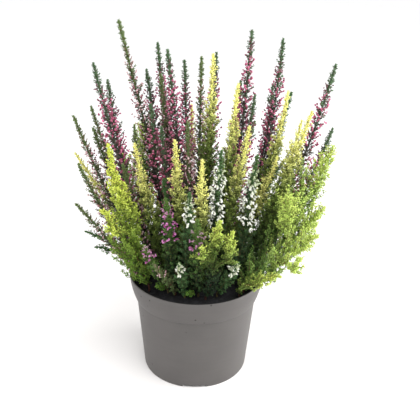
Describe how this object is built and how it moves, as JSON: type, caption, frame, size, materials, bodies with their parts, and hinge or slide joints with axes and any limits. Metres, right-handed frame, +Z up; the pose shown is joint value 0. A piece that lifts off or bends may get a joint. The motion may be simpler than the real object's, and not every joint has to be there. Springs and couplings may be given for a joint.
{
  "type": "potted heather",
  "caption": "Bushy heather plant in a tapered plastic nursery pot: upright shoots with crimson, pink, white and purple buds among lime and dark green foliage.",
  "frame": {"origin": "on the ground at the middle of the pot's foot, which is also the middle of the plant's box", "axes": "+Z up along the pot's axis; -Y towards the side that the picture shows"},
  "size_m": [0.242, 0.1699, 0.332],
  "materials": {
    "pot_plastic": "warm grey moulded plastic, satin, with a few specks of soil",
    "soil": "loose dark peat compost",
    "crimson_heather": "matte buds in crimson with dark green leaves and tips",
    "pale_heather": "matte pale pink buds on grey-green leafy shoots",
    "white_heather": "matte white florets on dark green shoots",
    "magenta_heather": "matte purple-magenta florets on dark green shoots",
    "lime_heather": "matte yellow-green leafy shoots",
    "feathery_heather": "matte light green feathery shoots with brown stems",
    "green_heather": "matte dark green leafy shoots",
    "sprig_heather": "matte green young sprigs"
  },
  "bodies": {
    "root": {"pot": "pot_plastic", "soil": "soil", "crimson_far_left": "crimson_heather", "crimson_back_left": "crimson_heather", "crimson_mid_left": "crimson_heather", "crimson_behind": "crimson_heather", "crimson_heart": "crimson_heather", "crimson_by_yellow": "crimson_heather", "crimson_tall_right": "crimson_heather", "crimson_mid_right": "crimson_heather", "crimson_back_right": "crimson_heather", "crimson_far_right": "crimson_heather", "crimson_low_right": "crimson_heather", "pale_tallest": "pale_heather", "pale_outer_left": "pale_heather", "pale_left": "pale_heather", "pale_low_left": "pale_heather", "pale_lowest_left": "pale_heather", "pale_pink_left": "pale_heather", "pale_back": "pale_heather", "pale_middle": "pale_heather", "pale_front": "pale_heather", "pale_front_low": "pale_heather", "white_middle": "white_heather", "white_right": "white_heather", "white_front": "white_heather", "white_low_left": "white_heather", "white_low_right": "white_heather", "magenta_left": "magenta_heather", "magenta_front": "magenta_heather", "magenta_low": "magenta_heather", "lime_big_left": "feathery_heather", "lime_left": "lime_heather", "lime_front_left": "lime_heather", "lime_tallest": "lime_heather", "lime_middle": "lime_heather", "lime_small": "lime_heather", "lime_front_middle": "lime_heather", "lime_tall_right": "lime_heather", "lime_twin_right": "lime_heather", "lime_outer_right": "feathery_heather", "lime_inner_right": "lime_heather", "lime_bent_left": "lime_heather", "lime_front": "feathery_heather", "fern_upper_right": "feathery_heather", "fern_right": "feathery_heather", "fern_low_right": "feathery_heather", "green_low_left": "green_heather", "green_right": "green_heather", "green_over_rim": "green_heather", "green_inside_left": "green_heather", "lime_back": "lime_heather", "lime_back_left": "feathery_heather", "pale_back_right": "pale_heather", "crimson_back_low": "crimson_heather", "green_back": "green_heather", "white_back": "white_heather", "fern_back_right": "feathery_heather", "sprig_left": "sprig_heather", "sprig_front": "sprig_heather"}
  },
  "joints": []
}
